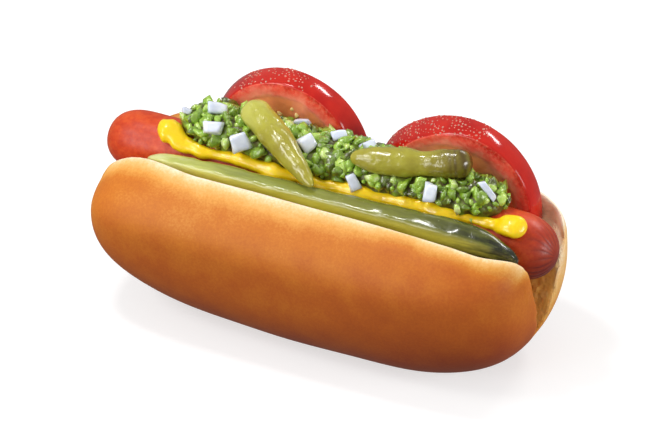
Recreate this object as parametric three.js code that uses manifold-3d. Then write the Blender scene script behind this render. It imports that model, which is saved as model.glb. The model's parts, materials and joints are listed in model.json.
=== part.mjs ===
// A hot dog: a frankfurter in a bun that is split from the top, dressed with a line of mustard,
// a pickle spear, relish with diced onion, two half slices of tomato and two small pickled peppers.
// Millimetres. X runs along the bun, Y from the front half of the bun to the back half, Z up.
// The origin is the middle of the bounding box's bottom, where the bun rests.

import * as THREE from "three";
import { mergeVertices } from "three/addons/utils/BufferGeometryUtils.js";
import Module from "manifold-3d";

const wasm = await Module();
wasm.setup();

// Sizes of the food, in millimetres

const GAP = 0.3; // air left between two pieces that touch

const BUN = {
  centreX: 1.9,
  halfLength: 71.9,
  halfWidth: 36,
  middleZ: 32.1, // height of the widest place
  rise: 22.2, // from there to the top of the loaf
  drop: 35.8, // from there to the bottom, which the table flattens
  roundness: 2.31, // superellipse power of the cross-section
  sidePowerLeft: 5.8, // superellipse power of each end, seen from above
  sidePowerRight: 3.7,
  bottomPowerLeft: 2.7, // the same for the underside, seen from the front
  bottomPowerRight: 3.25,
  topPowerLeft: 3, // and for the top
  topPowerRight: 6.5,
  backDip: 0.2, // how much of the rise the back half loses, except at its right end
  backDipLeft: 0.17, // and how much more at its left end
};

// The split: a V whose walls the filling has pushed apart
const SPLIT = {
  bottomZ: 12,
  bottomHalf: 0.8,
  kneeZ: 33, // where the front wall turns upright, beside the pickle
  knee: [11, 14.8, 7.6], // its distance from the middle at the left end, the pickle, the right end
  seatZ: 34.4, // where the back wall carries the frankfurter
  seatY: 11.2,
  shelfZ: 38, // where the tomato stands
  lipZ: 54,
  topZ: 75, // above everything that is cut
  front: [14, 19.4, 10.5], // the front lip's distance from the middle at the same three places
  openFrom: -62, // between these two the front goes from its left to its middle distance
  openTo: -34,
  closeFrom: 57, // where the front wall starts to come in towards the right end
  closeTo: 74,
  closePower: 1.9,
  backNarrow: 15.2, // distance of the back wall at the ends
  backWide: 23.8, // and behind the tomato
  wideLeft: -51, // the tomato's reach along the bun
  wideRight: 64,
};

const SAUSAGE = {
  leftTip: -75.65,
  rightTip: 75.65,
  y: 3,
  z: 42,
  bow: 1.2, // how far the ends hang below the middle
  leftRadius: 9.3,
  rightRadius: 10.4,
  leftCap: 12, // length of the rounded end
  rightCap: 13.5,
  leftCapPower: 2.45,
  rightCapPower: 2.2,
};

const MUSTARD = {
  leftX: -56.6,
  rightX: 67.8,
  radius: 1.9,
  sink: 0.9, // how deep the line is pressed on to the skin
  // where the line lies at x, in degrees from the top of the frankfurter towards the front
  lean: [
    [-57, 21],
    [-53, 27],
    [-46, 44],
    [-27, 43],
    [-7, 46],
    [13, 45],
    [25, 39],
    [41, 37],
    [53, 30],
    [60, 27],
    [69, 28],
  ],
};

// Its section is a wedge, by the three edges where its faces meet, as [y, z]
const PICKLE = {
  leftTip: -55.6,
  rightTip: 69.5,
  frontEdge: [-16.9, 51.4], // where the skin meets the front cut
  backEdge: [-7.6, 48], // where the skin meets the back cut
  seedEdge: [-13.7, 35], // the seed edge points down
  skinBulge: 2.1,
  frontBulge: 1.4,
  climb: 2.6, // how much higher the front edge lies at the right end
  backClimb: 8.5, // the back edge rises later and more
  backClimbPower: 2.6,
  backClimbUntil: 0.87, // and comes down again past this share of the length
  backClimbLoss: 0.8,
  leftPower: 2.9,
  rightPower: 3.2,
  endPoint: [-11.4, 46], // where the section shrinks to
};

const TOMATO = {
  thickness: 8.8,
  frontY: 14.2,
  bottomZ: 38.4, // the straight cut that the half slice stands on
  bulge: 0.5, // how far the skin stands out between the two cuts
  edge: 0.5, // rounding of the cut edges
};

// Each half slice by the circles of its two cuts. The front cut is nearer the tomato's end.
// lobe is how uneven the round is, as a share of its radius, and lobeAngle its direction in degrees.
const TOMATO_SLICES = [
  {
    name: "tomato_left",
    front: { x: -21.7, z: 44.3, radius: 23.4 },
    back: { x: -22.4, z: 41.3, radius: 26.4 },
    lobe: 0.025,
    lobeAngle: 60,
  },
  {
    name: "tomato_right",
    front: { x: 37, z: 42, radius: 25 },
    back: { x: 34, z: 39.8, radius: 27.8 },
    lobe: 0.06,
    lobeAngle: 48,
  },
];

// Each pepper runs from its stalk end to its tip
const PEPPERS = [
  {
    name: "pepper_left",
    stalk: [-30.6, 7.6, 61.5],
    middle: [-15, -2.4, 59],
    tip: [1.6, -14.2, 54.9],
    radius: 4.7,
    slim: 0.3, // share of the radius that is left at the tip
    slimFrom: 0.35, // where the body starts to get slimmer
    blunt: 0.12, // length of the rounded tip, as a share of the whole
    waist: 0,
  },
  {
    name: "pepper_right",
    stalk: [45.3, 7.2, 63.4],
    middle: [27.8, 2.6, 61.1],
    tip: [8.8, -2.4, 60.6],
    radius: 4.7,
    slim: 0.66,
    slimFrom: 0.5,
    blunt: 0.2,
    waist: 0.17,
  },
];

const RELISH = {
  leftX: -50.5,
  rightX: 57,
  y: 4.6,
  z: 53,
  halfWidth: 9.2,
  halfHeight: 6.3,
  endPower: 4.5,
  chunks: 92,
  chunkRadius: 2.7,
  onions: 16,
  onionHalf: 3,
  seed: 7,
};

// Small shaping functions

const radians = (degrees) => (degrees * Math.PI) / 180;
const mix = (a, b, t) => a + (b - a) * t;
const clamp01 = (t) => Math.min(1, Math.max(0, t));
const signedPower = (v, power) => Math.sign(v) * Math.abs(v) ** power;

function smoothStep(from, to, v) {
  const t = clamp01((v - from) / (to - from));
  return t * t * (3 - 2 * t);
}

// 1 between left and right, falling to 0 over a soft edge outside them
function plateau(v, left, right, soft) {
  return smoothStep(left - soft, left, v) * (1 - smoothStep(right, right + soft, v));
}

// A superellipse's height at a place from -1 to 1 along it
function taper(along, power) {
  return clamp01(1 - Math.abs(along) ** power) ** (1 / power);
}

// Places from -1 to 1 that crowd together towards both ends
function endCrowded(count, power) {
  return Array.from({ length: count }, (_, i) => {
    const u = (2 * (i + 0.5)) / count - 1;
    return Math.sign(u) * (1 - (1 - Math.abs(u)) ** power);
  });
}

// A repeatable source of numbers from 0 to 1
function seeded(seed) {
  let state = seed;
  return () => {
    state = (Math.imul(state, 1664525) + 1013904223) >>> 0;
    return state / 4294967296;
  };
}

// Meshes and solids

// A closed skin over a row of rings, each a loop of points that runs the same way, with a point at each end
function loft(rings, firstPoint, lastPoint) {
  const count = rings[0].length;
  const positions = [];
  for (const ring of rings) for (const p of ring) positions.push(p.x, p.y, p.z);
  const first = rings.length * count;
  positions.push(firstPoint.x, firstPoint.y, firstPoint.z, lastPoint.x, lastPoint.y, lastPoint.z);
  const faces = [];
  for (let r = 0; r + 1 < rings.length; r++) {
    for (let i = 0; i < count; i++) {
      const a = r * count + i;
      const b = r * count + ((i + 1) % count);
      faces.push(a, b, b + count, a, b + count, a + count);
    }
  }
  const last = (rings.length - 1) * count;
  for (let i = 0; i < count; i++) {
    const next = (i + 1) % count;
    faces.push(first, next, i);
    faces.push(first + 1, last + i, last + next);
  }
  const geometry = new THREE.BufferGeometry();
  geometry.setAttribute("position", new THREE.Float32BufferAttribute(positions, 3));
  geometry.setIndex(faces);
  return geometry;
}

// A three.js geometry as a solid that can be joined and cut. A skin that faces inwards is turned round.
function solid(geometry) {
  const bare = new THREE.BufferGeometry();
  bare.setAttribute("position", geometry.getAttribute("position"));
  if (geometry.index) bare.setIndex(geometry.index);
  const merged = mergeVertices(bare, 1e-4);
  const vertProperties = new Float32Array(merged.attributes.position.array);
  const triVerts = new Uint32Array(merged.index.array);
  const make = () => new wasm.Manifold(new wasm.Mesh({ numProp: 3, vertProperties, triVerts }));
  const made = make();
  if (made.volume() >= 0) return made;
  for (let i = 0; i < triVerts.length; i += 3) {
    [triVerts[i + 1], triVerts[i + 2]] = [triVerts[i + 2], triVerts[i + 1]];
  }
  return make();
}

// The largest body of a solid, without the scraps that a cut may leave
function largest(made) {
  const bodies = made.decompose();
  return bodies.reduce((best, body) => (body.volume() > best.volume() ? body : best), bodies[0]);
}

function geometryOf(made) {
  const mesh = made.getMesh();
  const positions = new Float32Array(mesh.numVert * 3);
  for (let i = 0; i < mesh.numVert; i++) {
    positions.set(mesh.vertProperties.subarray(i * mesh.numProp, i * mesh.numProp + 3), i * 3);
  }
  const geometry = new THREE.BufferGeometry();
  geometry.setAttribute("position", new THREE.BufferAttribute(positions, 3));
  geometry.setIndex(new THREE.BufferAttribute(mesh.triVerts, 1));
  geometry.computeVertexNormals();
  return geometry;
}

// Rings round a path of points. radiusAt(i) gives the tube's radius at each, and upright keeps them unturned.
function ringsAlong(path, radiusAt, sides) {
  const upright = new THREE.Vector3(0, 0, 1);
  return path.map((p, i) => {
    const before = path[Math.max(0, i - 1)];
    const after = path[Math.min(path.length - 1, i + 1)];
    const ahead = after.clone().sub(before).normalize();
    const side = new THREE.Vector3().crossVectors(upright, ahead).normalize();
    const up = new THREE.Vector3().crossVectors(ahead, side);
    return Array.from({ length: sides }, (_, k) => {
      const angle = (2 * Math.PI * k) / sides;
      return p
        .clone()
        .addScaledVector(side, radiusAt(i) * Math.cos(angle))
        .addScaledVector(up, radiusAt(i) * Math.sin(angle));
    });
  });
}

// Bun

function bunSection(along, count) {
  const x = BUN.centreX + BUN.halfLength * along;
  const side = taper(along, along < 0 ? BUN.sidePowerLeft : BUN.sidePowerRight);
  const top = taper(along, along < 0 ? BUN.topPowerLeft : BUN.topPowerRight);
  const bottom = taper(along, along < 0 ? BUN.bottomPowerLeft : BUN.bottomPowerRight);
  return Array.from({ length: count }, (_, i) => {
    const angle = (2 * Math.PI * i) / count;
    const across = signedPower(Math.cos(angle), 2 / BUN.roundness);
    const height = signedPower(Math.sin(angle), 2 / BUN.roundness);
    const y = BUN.halfWidth * side * across;
    const lost =
      BUN.backDip * (1 - smoothStep(0.45, 0.85, along)) + BUN.backDipLeft * smoothStep(0.35, 0.85, -along);
    const dip = 1 - lost * smoothStep(0, 0.5, across);
    const z = BUN.middleZ + height * (height > 0 ? BUN.rise * top * dip : BUN.drop * bottom);
    return new THREE.Vector3(x, y, Math.max(0, z));
  });
}

// The empty space between the two halves of the bun, as a section across it
function splitSection(x) {
  const pastLeft = smoothStep(SPLIT.openFrom, SPLIT.openTo, x);
  const pastRight = clamp01((x - SPLIT.closeFrom) / (SPLIT.closeTo - SPLIT.closeFrom)) ** SPLIT.closePower;
  const [front, knee] = [SPLIT.front, SPLIT.knee].map(([left, middle, right]) =>
    mix(mix(left, middle, pastLeft), right, pastRight),
  );
  const back = mix(SPLIT.backNarrow, SPLIT.backWide, plateau(x, SPLIT.wideLeft, SPLIT.wideRight, 10));
  const outline = [
    [-front - 1, SPLIT.topZ],
    [-front, SPLIT.lipZ - 3],
    [-mix(front, knee, 0.18), mix(SPLIT.lipZ, SPLIT.kneeZ, 0.48)],
    [-knee, SPLIT.kneeZ],
    [-knee * 0.55, (SPLIT.kneeZ + SPLIT.bottomZ) / 2],
    [-SPLIT.bottomHalf, SPLIT.bottomZ],
    [SPLIT.bottomHalf, SPLIT.bottomZ],
    [SPLIT.seatY * 0.52, (SPLIT.seatZ + SPLIT.bottomZ) / 2],
    [SPLIT.seatY, SPLIT.seatZ],
    [back - 0.3, SPLIT.shelfZ],
    [back, SPLIT.lipZ - 8],
    [back + 0.5, SPLIT.topZ],
  ];
  return outline.map(([y, z]) => new THREE.Vector3(x, y, z));
}

function makeBun() {
  const places = endCrowded(26, 2.2);
  const left = new THREE.Vector3(BUN.centreX - BUN.halfLength, 0, BUN.middleZ);
  const right = new THREE.Vector3(BUN.centreX + BUN.halfLength, 0, BUN.middleZ);
  const loaf = solid(loft(places.map((a) => bunSection(a, 40)), left, right));
  const reach = BUN.halfLength + 4;
  const cuts = endCrowded(30, 1.7).map((a) => BUN.centreX + reach * a);
  const middle = (x) => new THREE.Vector3(x, 0, SPLIT.shelfZ + 4);
  const split = solid(loft(cuts.map(splitSection), middle(cuts[0]), middle(cuts[cuts.length - 1])));
  return largest(loaf.subtract(split));
}

// Frankfurter and the mustard on it

// The frankfurter's middle line at x, and its radius there
function sausageMiddle(x) {
  const along = mix(-1, 1, (x - SAUSAGE.leftTip) / (SAUSAGE.rightTip - SAUSAGE.leftTip));
  return new THREE.Vector3(x, SAUSAGE.y, SAUSAGE.z - SAUSAGE.bow * along * along);
}

function sausageRadius(x) {
  const share = (x - SAUSAGE.leftTip) / (SAUSAGE.rightTip - SAUSAGE.leftTip);
  const full = mix(SAUSAGE.leftRadius, SAUSAGE.rightRadius, clamp01(share));
  const intoLeft = clamp01(1 - (x - SAUSAGE.leftTip) / SAUSAGE.leftCap);
  const intoRight = clamp01(1 - (SAUSAGE.rightTip - x) / SAUSAGE.rightCap);
  return full * taper(intoLeft, SAUSAGE.leftCapPower) * taper(intoRight, SAUSAGE.rightCapPower);
}

function makeSausage(swell) {
  const half = (SAUSAGE.rightTip - SAUSAGE.leftTip) / 2;
  const middle = (SAUSAGE.rightTip + SAUSAGE.leftTip) / 2;
  const path = endCrowded(26, 2.3).map((a) => sausageMiddle(middle + half * a));
  const rings = ringsAlong(path, (i) => sausageRadius(path[i].x) + swell, 20);
  const tip = (x) => sausageMiddle(x);
  return solid(loft(rings, tip(SAUSAGE.leftTip - swell), tip(SAUSAGE.rightTip + swell)));
}

function mustardLean(x) {
  const knots = MUSTARD.lean;
  const next = Math.max(1, knots.findIndex(([at]) => at >= x));
  const [fromX, from] = knots[next - 1];
  const [toX, to] = knots[next];
  return mix(from, to, smoothStep(fromX, toX, x)) + 1.1 * Math.sin(x / 3.1 + 1);
}

function mustardRadius(x) {
  const wave = 0.22 * Math.sin(x / 4.3) + 0.15 * Math.sin(x / 2.2 + 2);
  const startBlob = 1.2 * (1 - smoothStep(MUSTARD.leftX + 3, MUSTARD.leftX + 14, x));
  const neck = -0.7 * plateau(x, MUSTARD.rightX - 17, MUSTARD.rightX - 10, 3);
  const endBlob = 1.3 * smoothStep(MUSTARD.rightX - 12, MUSTARD.rightX - 4, x);
  return MUSTARD.radius + wave + startBlob + neck + endBlob;
}

function makeMustard(swell) {
  const steps = 46;
  const path = Array.from({ length: steps + 1 }, (_, i) => {
    const x = mix(MUSTARD.leftX, MUSTARD.rightX, i / steps);
    const angle = radians(mustardLean(x));
    const reach = sausageRadius(x) + mustardRadius(x) - MUSTARD.sink;
    const p = sausageMiddle(x);
    return new THREE.Vector3(x, p.y - reach * Math.sin(angle), p.z + reach * Math.cos(angle));
  });
  const round = (i) => taper(clamp01(1 - Math.min(i + 0.4, steps - i + 0.4) / 2.2), 2);
  const rings = ringsAlong(path, (i) => mustardRadius(path[i].x) * round(i) + swell, 8);
  const beyond = (p, dx) => new THREE.Vector3(p.x + dx, p.y, p.z);
  return solid(loft(rings, beyond(path[0], -0.6 - swell), beyond(path[steps], 0.6 + swell)));
}

// Pickle spear

// A side of the wedge from one edge to the next, bulging to its left by so much in the middle
function pickleSide([fromY, fromZ], [toY, toZ], bulge, count) {
  const length = Math.hypot(toY - fromY, toZ - fromZ);
  const out = [(fromZ - toZ) / length, (toY - fromY) / length];
  return Array.from({ length: count }, (_, i) => {
    const share = i / count;
    const stand = bulge * Math.sin(Math.PI * share);
    return [mix(fromY, toY, share) + out[0] * stand, mix(fromZ, toZ, share) + out[1] * stand];
  });
}

function pickleSection(along) {
  const share = (along + 1) / 2;
  const x = mix(PICKLE.leftTip, PICKLE.rightTip, share);
  const fall = 1 - PICKLE.backClimbLoss * smoothStep(PICKLE.backClimbUntil, 1, share);
  const front = [PICKLE.frontEdge[0], PICKLE.frontEdge[1] + PICKLE.climb * share];
  const back = [
    PICKLE.backEdge[0],
    PICKLE.backEdge[1] + PICKLE.backClimb * share ** PICKLE.backClimbPower * fall,
  ];
  const size = taper(along, along < 0 ? PICKLE.leftPower : PICKLE.rightPower);
  const outline = [
    ...pickleSide(front, back, PICKLE.skinBulge, 8),
    ...pickleSide(back, PICKLE.seedEdge, 0, 4),
    ...pickleSide(PICKLE.seedEdge, front, PICKLE.frontBulge, 5),
  ];
  const [endY, endZ] = PICKLE.endPoint;
  return outline.map(([y, z]) => new THREE.Vector3(x, mix(endY, y, size), mix(endZ, z, size)));
}

function makePickle() {
  const rings = endCrowded(24, 1.9).map(pickleSection);
  const end = (x) => new THREE.Vector3(x, ...PICKLE.endPoint);
  return solid(loft(rings, end(PICKLE.leftTip), end(PICKLE.rightTip)));
}

// Tomato slices

// A slice's outline at a depth behind the front cut: an arc that stands on a straight chord
function tomatoOutline({ front, back, lobe, lobeAngle }, depth, shrink) {
  const share = clamp01(depth / TOMATO.thickness);
  const bulge = TOMATO.bulge * Math.sin(Math.PI * share);
  const radius = mix(front.radius, back.radius, share) + bulge - shrink;
  const centreX = mix(front.x, back.x, share);
  const centreZ = mix(front.z, back.z, share);
  const chord = TOMATO.bottomZ + shrink - centreZ;
  const start = Math.asin(chord / radius);
  const arcPoints = 34;
  const chordPoints = 6;
  const arc = Array.from({ length: arcPoints + 1 }, (_, i) => {
    const angle = mix(start, Math.PI - start, i / arcPoints);
    const inside = Math.sin((Math.PI * i) / arcPoints);
    const uneven = 1 + lobe * inside * Math.cos(2 * (angle - radians(lobeAngle)));
    return [radius * uneven * Math.cos(angle), radius * uneven * Math.sin(angle)];
  });
  const width = radius * Math.cos(start);
  const base = Array.from({ length: chordPoints - 1 }, (_, i) => [
    mix(-width, width, (i + 1) / chordPoints),
    chord,
  ]);
  const y = TOMATO.frontY + depth;
  return [...arc, ...base].map(([x, z]) => new THREE.Vector3(centreX + x, y, centreZ + z));
}

function makeTomato(slice, swell) {
  const { thickness, edge } = TOMATO;
  const profile = [
    [-swell, edge - swell],
    [edge * 0.4 - swell * 0.5, edge * 0.3 - swell],
    [edge * 1.4, -swell],
    [thickness * 0.5, -swell],
    [thickness - edge * 1.4, -swell],
    [thickness - edge * 0.4 + swell * 0.5, edge * 0.3 - swell],
    [thickness + swell, edge - swell],
  ];
  const rings = profile.map(([depth, shrink]) => tomatoOutline(slice, depth, shrink));
  const middle = ({ x, z, radius }, depth) => new THREE.Vector3(x, TOMATO.frontY + depth, z + radius * 0.4);
  return solid(loft(rings, middle(slice.front, -swell), middle(slice.back, thickness + swell)));
}

// Peppers

// A pepper's radius from its stalk end, 0, to its tip, 1, as a share of its widest
function pepperShape(t, { slim, slimFrom, blunt, waist }) {
  const shoulder = taper(clamp01(1 - t / 0.12), 2.2);
  const body = mix(1, slim, smoothStep(slimFrom, 1.08, t) ** 1.4);
  const point = taper(clamp01((t - 1 + blunt) / blunt), 2.3);
  return shoulder * body * point - waist * plateau(t, 0.36, 0.42, 0.16) * shoulder;
}

function makePepper(pepper, swell) {
  const knots = [pepper.stalk, pepper.middle, pepper.tip].map((p) => new THREE.Vector3(...p));
  const curve = new THREE.CatmullRomCurve3(knots);
  const places = endCrowded(20, 1.8).map((a) => (a + 1) / 2);
  const path = places.map((t) => curve.getPoint(t));
  const rings = ringsAlong(path, (i) => pepper.radius * pepperShape(places[i], pepper) + swell, 14);
  return solid(loft(rings, knots[0], knots[2]));
}

// Relish and diced onion

function relishSize(x) {
  const middle = (RELISH.leftX + RELISH.rightX) / 2;
  const half = (RELISH.rightX - RELISH.leftX) / 2;
  return taper((x - middle) / half, RELISH.endPower);
}

// A point of the heap's smooth core, at an angle from +Y towards +Z
function relishPoint(x, angle) {
  const size = relishSize(x);
  const wave = 1 + 0.06 * Math.sin(x / 5.5) + 0.05 * Math.sin(x / 2.9 + 1);
  return new THREE.Vector3(
    x,
    RELISH.y + RELISH.halfWidth * size * Math.cos(angle),
    RELISH.z + RELISH.halfHeight * size * wave * Math.sin(angle),
  );
}

function makeRelishCore() {
  const middle = (RELISH.leftX + RELISH.rightX) / 2;
  const half = (RELISH.rightX - RELISH.leftX) / 2;
  const sides = 14;
  const rings = endCrowded(22, 1.7).map((a) =>
    Array.from({ length: sides }, (_, i) => relishPoint(middle + half * a, (2 * Math.PI * i) / sides)),
  );
  const end = (x) => new THREE.Vector3(x, RELISH.y, RELISH.z);
  return solid(loft(rings, end(RELISH.leftX), end(RELISH.rightX)));
}

// A chopped piece: a solid with its corners pulled about and turned at random
function choppedPiece(base, halves, roughness, random, at) {
  const geometry = base.clone();
  const position = geometry.getAttribute("position");
  const moved = new Map();
  for (let i = 0; i < position.count; i++) {
    const p = new THREE.Vector3().fromBufferAttribute(position, i);
    const key = [p.x, p.y, p.z].map((v) => v.toFixed(4)).join();
    if (!moved.has(key)) {
      const pull = () => 1 + roughness * (2 * random() - 1);
      moved.set(key, new THREE.Vector3(p.x * pull(), p.y * pull(), p.z * pull()).multiply(halves));
    }
    position.setXYZ(i, ...moved.get(key).toArray());
  }
  const turn = new THREE.Euler(random() * 6.3, random() * 6.3, random() * 6.3);
  geometry.applyMatrix4(new THREE.Matrix4().makeRotationFromEuler(turn));
  geometry.translate(at.x, at.y, at.z);
  geometry.deleteAttribute("normal");
  geometry.deleteAttribute("uv");
  return solid(geometry);
}

// The heap: its core, with the chopped pieces that clear their neighbours fused on
function makeRelish(neighbours) {
  const random = seeded(RELISH.seed);
  const lump = new THREE.OctahedronGeometry(1.25, 0);
  const dice = new THREE.BoxGeometry(2, 2, 2);
  const core = largest(makeRelishCore().subtract(neighbours));
  const pieces = [];
  const total = RELISH.chunks + RELISH.onions;
  const onionStep = Math.floor(total / RELISH.onions);
  const golden = 0.618034;
  for (let i = 0; i < total; i++) {
    const x = mix(RELISH.leftX + 1, RELISH.rightX - 1, (i + random()) / total);
    const angle = radians(mix(20, 190, (i * golden) % 1));
    const at = relishPoint(x, angle);
    const isOnion = i % onionStep === 2;
    const size = mix(0.75, 1.2, random());
    const halves = isOnion
      ? new THREE.Vector3(0.95, 0.85, 0.6).multiplyScalar(RELISH.onionHalf * size)
      : new THREE.Vector3(mix(0.9, 1.3, random()), 0.85, 0.75).multiplyScalar(RELISH.chunkRadius * size);
    const piece = choppedPiece(isOnion ? dice : lump, halves, isOnion ? 0.12 : 0.2, random, at);
    if (piece.intersect(neighbours).volume() > 0) continue;
    if (piece.intersect(core).volume() < 1) continue;
    pieces.push(piece);
  }
  return largest(wasm.Manifold.union([core, ...pieces]));
}

// The whole hot dog

const material = (colour, roughness) =>
  new THREE.MeshStandardMaterial({ color: new THREE.Color(colour), roughness, metalness: 0 });

const LOOKS = {
  crust: material("#d07a2c", 0.6),
  frankfurter: material("#d2431f", 0.35),
  pickle: material("#8c9a35", 0.3),
  tomato: material("#d93224", 0.3),
  pepper: material("#a6a637", 0.3),
  relish: material("#7aa83a", 0.4),
};

const hotDog = new THREE.Group();

function addPiece(name, made, look) {
  const mesh = new THREE.Mesh(geometryOf(made), look);
  mesh.name = name;
  hotDog.add(mesh);
}

addPiece("bun", makeBun(), LOOKS.crust);
addPiece("sausage", makeSausage(0).add(makeMustard(0)), LOOKS.frankfurter);
addPiece("pickle_spear", makePickle(), LOOKS.pickle);
for (const slice of TOMATO_SLICES) addPiece(slice.name, makeTomato(slice, 0), LOOKS.tomato);
for (const pepper of PEPPERS) addPiece(pepper.name, makePepper(pepper, 0), LOOKS.pepper);
const swollenNeighbours = wasm.Manifold.union([
  makeSausage(GAP),
  makeMustard(GAP),
  ...TOMATO_SLICES.map((slice) => makeTomato(slice, GAP)),
  ...PEPPERS.map((pepper) => makePepper(pepper, GAP)),
]);
addPiece("relish", makeRelish(swollenNeighbours), LOOKS.relish);

export default hotDog;
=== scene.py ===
"""A hot dog dressed with mustard, pickle, relish, onion, tomato and peppers, round its CAD model.

Shapes are worked out in millimetres in the model's own frame, and become metres when a mesh is made.
"""

import json
import math

import bmesh
import bpy
import numpy as np
from mathutils import Matrix, Vector, kdtree
from mathutils.bvhtree import BVHTree

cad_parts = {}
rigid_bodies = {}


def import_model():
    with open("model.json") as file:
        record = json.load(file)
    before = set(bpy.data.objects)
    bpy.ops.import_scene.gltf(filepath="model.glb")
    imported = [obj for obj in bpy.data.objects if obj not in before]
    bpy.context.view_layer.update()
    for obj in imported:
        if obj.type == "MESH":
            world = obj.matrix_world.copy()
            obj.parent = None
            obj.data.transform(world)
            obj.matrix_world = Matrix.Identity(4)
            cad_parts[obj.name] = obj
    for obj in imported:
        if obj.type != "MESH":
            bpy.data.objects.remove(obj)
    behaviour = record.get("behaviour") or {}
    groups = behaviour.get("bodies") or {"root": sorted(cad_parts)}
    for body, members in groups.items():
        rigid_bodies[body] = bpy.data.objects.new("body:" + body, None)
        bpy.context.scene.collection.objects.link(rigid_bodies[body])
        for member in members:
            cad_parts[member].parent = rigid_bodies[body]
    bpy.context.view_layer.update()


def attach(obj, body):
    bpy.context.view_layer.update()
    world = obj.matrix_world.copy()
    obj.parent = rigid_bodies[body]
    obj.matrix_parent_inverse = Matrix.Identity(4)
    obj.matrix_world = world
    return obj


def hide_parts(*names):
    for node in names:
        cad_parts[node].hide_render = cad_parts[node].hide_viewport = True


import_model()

MM = 0.001
TURN = 2 * math.pi

# Sizes, as in the CAD source. A power says how full a rounded end or side is.

BUN_X, BUN_LONG, BUN_WIDE = 1.9, 71.9, 36.0
BUN_MIDDLE_Z, BUN_RISE, BUN_DROP = 32.1, 22.2, 35.8
BUN_ROUND = 2.31  # power of the loaf's section
BUN_ENDS = {"side": (5.8, 3.7), "top": (3.0, 6.5), "bottom": (2.7, 3.25)}  # powers at the left and right end
BUN_DIPS = (0.2, 0.17)  # shares of its rise that the back half loses
SPLIT_FRONT, SPLIT_KNEE = (14.0, 19.4, 10.5), (11.0, 14.8, 7.6)  # at the left, in the middle, at the right
SPLIT_BACK = (15.2, 23.8)
SPLIT_OPEN, SPLIT_CLOSE = (-62, -34), (57, 74, 1.9)  # from and to which x, and by what power
SAUSAGE_TIP, SAUSAGE_Y, SAUSAGE_Z, SAUSAGE_BOW = 75.65, 3.0, 42.0, 1.2
SAUSAGE_RADII, SAUSAGE_CAPS, SAUSAGE_CAP_POWERS = (9.3, 10.4), (12.0, 13.5), (2.45, 2.2)
MUSTARD_FROM, MUSTARD_TO, MUSTARD_RADIUS, MUSTARD_SINK = -56.6, 67.8, 1.9, 0.9
MUSTARD_LEAN = [  # x, and the angle from straight up towards the front
    (-57, 21), (-53, 27), (-46, 44), (-27, 43), (-7, 46), (13, 45), (25, 39), (41, 37), (53, 30), (60, 27),
    (69, 28),
]
PICKLE_FROM, PICKLE_TO, PICKLE_CLIMB = -55.6, 69.5, 2.6
PICKLE_BACK_CLIMB = (8.5, 2.6, 0.87, 0.8)  # how far, by what power, past what share it loses how much
PICKLE_FRONT, PICKLE_BACK, PICKLE_SEED = (-16.9, 51.4), (-7.6, 48.0), (-13.7, 35.0)  # the section's corners
PICKLE_END, PICKLE_POWERS = (-11.4, 46.0), (2.9, 3.2)
TOMATO_THICK, TOMATO_Y, TOMATO_FOOT, TOMATO_EDGE = 8.8, 14.2, 38.4, 0.5
BEADED = {"tomato_left": (-36, -17), "tomato_right": (13, 43)}  # where along x the peel has drops
TOMATOES = {  # circles of the front and the back cut as x, z, radius, then the lobe and its angle
    "tomato_left": ((-21.7, 44.3, 23.4), (-22.4, 41.3, 26.4), 0.025, 60),
    "tomato_right": ((37.0, 42.0, 25.0), (34.0, 39.8, 27.8), 0.06, 48),
}
PEPPERS = {  # stalk end, middle and tip, radius, how slim it gets and from where, blunt tip, waist
    "pepper_left": ((-30.6, 7.6, 61.5), (-15, -2.4, 59), (1.6, -14.2, 54.9), 4.7, 0.3, 0.35, 0.12, 0.0),
    "pepper_right": ((45.3, 7.2, 63.4), (27.8, 2.6, 61.1), (8.8, -2.4, 60.6), 4.7, 0.66, 0.5, 0.2, 0.17),
}
RELISH_FROM, RELISH_TO, RELISH_Y, RELISH_Z = -50.5, 57.0, 4.6, 53.0
RELISH_WIDE, RELISH_TALL = 9.2, 6.3
RELISH_MIDDLE, RELISH_HALF = (RELISH_FROM + RELISH_TO) / 2, (RELISH_TO - RELISH_FROM) / 2

STREWING = {  # least distance apart, clearance to what lies beside it, smallest and largest, then the seed
    "relish_lumps": (3.0, 1.3, 1.6, 2.7, 4),
    "relish_bits": (2.3, 0.7, 1.0, 1.9, 8),
    "relish_fallen": (1.7, 0.5, 0.9, 1.8, 2),
}
DROPS_APART, SMALLEST_DROP, LARGEST_DROP = 0.95, 0.14, 0.4
LIGHTS = {  # place in m, the height that it is aimed at, its two sides in m, and its watts
    "key": ((-0.52, -0.44, 0.66), 0.03, (0.32, 0.24), 2.5),
    "front": ((-0.42, -0.78, 0.36), 0.03, (0.5, 0.35), 3.3),
    "side": ((0.8, 0.08, 0.22), 0.03, (0.4, 0.3), 3.6),
    "back": ((0.145, 0.626, 0.553), 0.04, (0.24, 0.08), 1.7),
    "glint": ((-0.24, -0.02, 0.7), 0.05, (0.09, 0.12), 1.6),
}
FLOOR_HALF, FLOOR_GLOW = 3000, 0.58


# Shaping functions on whole arrays


def mix(a, b, t):
    return a + (b - a) * t


def clamp01(v):
    return np.clip(v, 0.0, 1.0)


def ease(start, end, v):
    t = clamp01((v - start) / (end - start))
    return t * t * (3 - 2 * t)


def plateau(v, left, right, soft):
    return ease(left - soft, left, v) * (1 - ease(right, right + soft, v))


def taper(along, power):
    return clamp01(1 - np.abs(along) ** power) ** (1 / power)


def signed_power(v, power):
    return np.sign(v) * np.abs(v) ** power


def unit(v):
    """The rows of v at length 1."""
    return v / np.maximum(np.linalg.norm(v, axis=-1, keepdims=True), 1e-6)


def end_crowded(count, power):
    u = 2 * (np.arange(count) + 0.5) / count - 1
    return np.sign(u) * (1 - (1 - np.abs(u)) ** power)


def ring_angles(count):
    return np.arange(count) * TURN / count


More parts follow.
